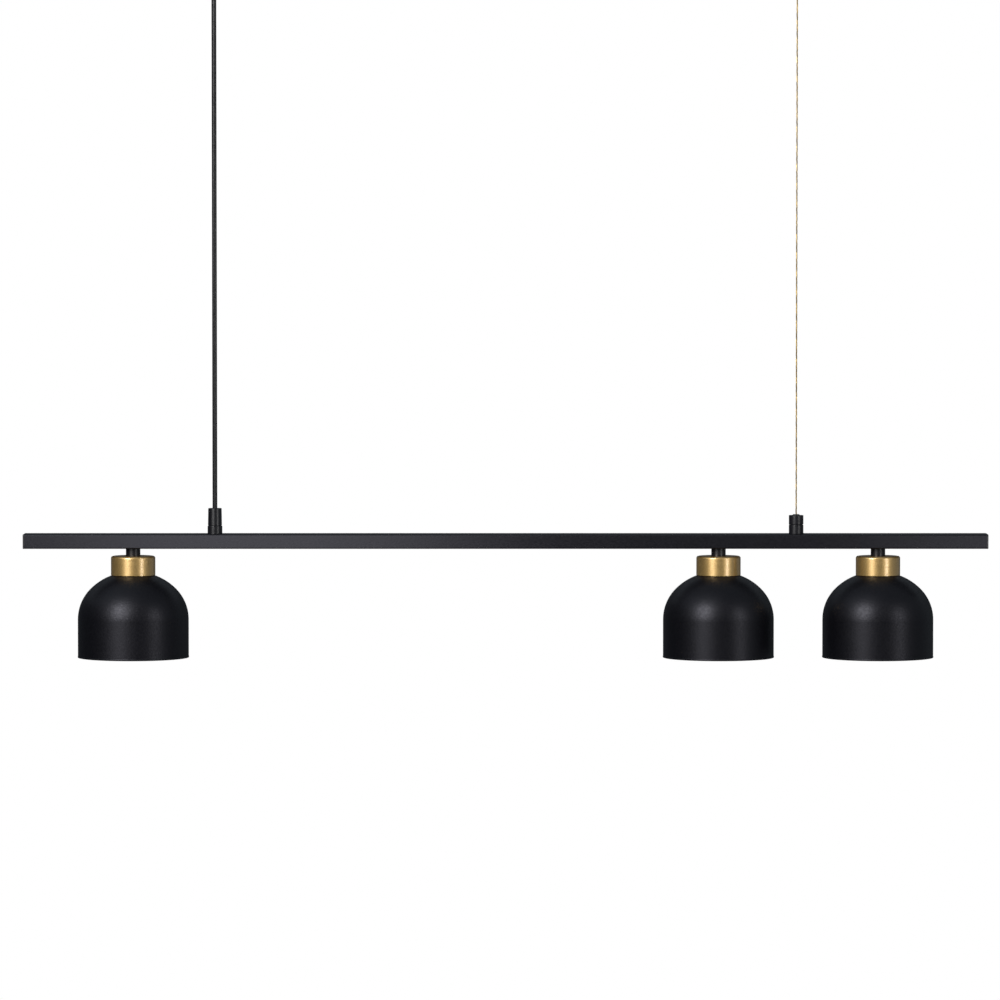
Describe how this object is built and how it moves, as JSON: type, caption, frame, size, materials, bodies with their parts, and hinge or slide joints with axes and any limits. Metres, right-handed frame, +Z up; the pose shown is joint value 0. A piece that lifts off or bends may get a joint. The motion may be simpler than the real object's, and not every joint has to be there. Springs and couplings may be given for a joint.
{
  "type": "linear island pendant",
  "caption": "Linear pendant: a slim black rail hung on a black cord and a gold wire, with bell-shaped black shades on brass collars below it",
  "frame": {"origin": "middle of the ceiling bracket's two screw slots, on the ceiling", "axes": "+Z up to the ceiling; +X along the rail, from the cord's side to the wire's side"},
  "size_m": [1, 0.1154, 0.7375],
  "materials": {
    "black_coat": "fine-textured matt black powder coat",
    "satin_brass": "fine brushed satin brass, lacquered",
    "black_fitting": "smooth satin black",
    "black_nylon": "moulded, satin",
    "cord_jacket": "smooth matt round sheath",
    "gold_wire": "twisted strands, brass-plated steel",
    "zinc_steel": "bright zinc plate",
    "hard_steel": "polished hard steel",
    "white_polyamide": "moulded, satin",
    "black_phenolic": "moulded, satin",
    "contact_brass": "bright rolled brass",
    "opal_glass": "opal white, smooth",
    "nickel_cap": "nickel-plated, bright",
    "foot_glass": "black glass with a solder contact",
    "lead_jacket": "white heat-resistant sleeve"
  },
  "bodies": {
    "canopy": {"canopy_cover": "black_coat", "ceiling_bracket": "zinc_steel", "cover_screws": "black_fitting", "ceiling_terminal": "white_polyamide", "bracket_earth_stud": "zinc_steel", "ceiling_bush": "black_nylon", "wire_anchor": "black_fitting", "ceiling_nuts": "zinc_steel", "canopy_lead": "cord_jacket"},
    "lines": {"pendant_cord": "cord_jacket", "suspension_wire": "gold_wire", "wire_ball_end": "contact_brass"},
    "collet": {"grip_collet": "black_nylon"},
    "grip_cap": {"grip_cap": "black_nylon"},
    "plunger": {"gripper_plunger": "black_fitting", "gripper_balls": "hard_steel"},
    "bulb_left_thread": {"bulb_foot_left": "foot_glass"},
    "bulb_left": {"bulb_cap_left": "nickel_cap", "bulb_glass_left": "opal_glass"},
    "bulb_middle_thread": {"bulb_foot_middle": "foot_glass"},
    "bulb_middle": {"bulb_cap_middle": "nickel_cap", "bulb_glass_middle": "opal_glass"},
    "bulb_right_thread": {"bulb_foot_right": "foot_glass"},
    "bulb_right": {"bulb_cap_right": "nickel_cap", "bulb_glass_right": "opal_glass"},
    "rail": {"rail_tube": "black_coat", "end_cap_left": "black_nylon", "end_cap_right": "black_nylon", "rail_terminal": "white_polyamide", "rail_earth_stud": "zinc_steel", "grip_base": "black_nylon", "cord_tail": "cord_jacket", "gripper_base": "black_fitting", "gripper_barrel": "black_fitting", "gripper_spring": "hard_steel", "wire_tail": "gold_wire", "head_nipples": "zinc_steel", "lock_nuts": "zinc_steel", "socket_contacts": "contact_brass", "neck_left": "black_fitting", "collar_left": "satin_brass", "lampholder_left": "black_phenolic", "socket_shell_left": "contact_brass", "shade_left": "black_coat", "shade_ring_left": "black_phenolic", "lead_left": "lead_jacket", "neck_middle": "black_fitting", "collar_middle": "satin_brass", "lampholder_middle": "black_phenolic", "socket_shell_middle": "contact_brass", "shade_middle": "black_coat", "shade_ring_middle": "black_phenolic", "lead_middle": "lead_jacket", "neck_right": "black_fitting", "collar_right": "satin_brass", "lampholder_right": "black_phenolic", "socket_shell_right": "contact_brass", "shade_right": "black_coat", "shade_ring_right": "black_phenolic", "lead_right": "lead_jacket"}
  },
  "joints": [
    {"name": "pendant_swing", "type": "hinge", "parent": "canopy", "child": "lines", "pos_m": [0, 0, -0.0385], "axis": [1, 0, 0], "range_deg": [-20, 20]},
    {"name": "height_adjust", "type": "slide", "parent": "lines", "child": "rail", "axis": [0, 0, 1], "range_m": [0, 0.35], "deforming": ["pendant_cord", "suspension_wire"]},
    {"name": "grip_collet_lift", "type": "slide", "parent": "rail", "child": "collet", "axis": [0, 0, 1], "range_m": [0, 0.001]},
    {"name": "grip_cap_turn", "type": "hinge", "parent": "collet", "child": "grip_cap", "pos_m": [-0.3015, 0, -0.609], "axis": [0, 0, 1], "range_deg": [0, 360]},
    {"name": "gripper_press", "type": "slide", "parent": "rail", "child": "plunger", "axis": [0, 0, -1], "range_m": [0, 0.001], "stiffness_N_per_m": 2000, "deforming": ["gripper_spring"]},
    {"name": "bulb_left_drop", "type": "slide", "parent": "rail", "child": "bulb_left_thread", "axis": [0, 0, -1], "range_m": [0, 0.01128]},
    {"name": "bulb_left_turn", "type": "hinge", "parent": "bulb_left_thread", "child": "bulb_left", "pos_m": [-0.3865, 0, -0.73749], "axis": [0, 0, -1], "range_deg": [0, 1440]},
    {"name": "bulb_middle_drop", "type": "slide", "parent": "rail", "child": "bulb_middle_thread", "axis": [0, 0, -1], "range_m": [0, 0.01128]},
    {"name": "bulb_middle_turn", "type": "hinge", "parent": "bulb_middle_thread", "child": "bulb_middle", "pos_m": [0.221, 0, -0.73749], "axis": [0, 0, -1], "range_deg": [0, 1440]},
    {"name": "bulb_right_drop", "type": "slide", "parent": "rail", "child": "bulb_right_thread", "axis": [0, 0, -1], "range_m": [0, 0.01128]},
    {"name": "bulb_right_turn", "type": "hinge", "parent": "bulb_right_thread", "child": "bulb_right", "pos_m": [0.3865, 0, -0.73749], "axis": [0, 0, -1], "range_deg": [0, 1440]}
  ],
  "couplings": [
    {"joint": "grip_cap_turn", "follows": "grip_collet_lift", "rad_per_m": 6283.2},
    {"joint": "bulb_left_turn", "follows": "bulb_left_drop", "rad_per_m": 2228.1},
    {"joint": "bulb_middle_turn", "follows": "bulb_middle_drop", "rad_per_m": 2228.1},
    {"joint": "bulb_right_turn", "follows": "bulb_right_drop", "rad_per_m": 2228.1}
  ]
}
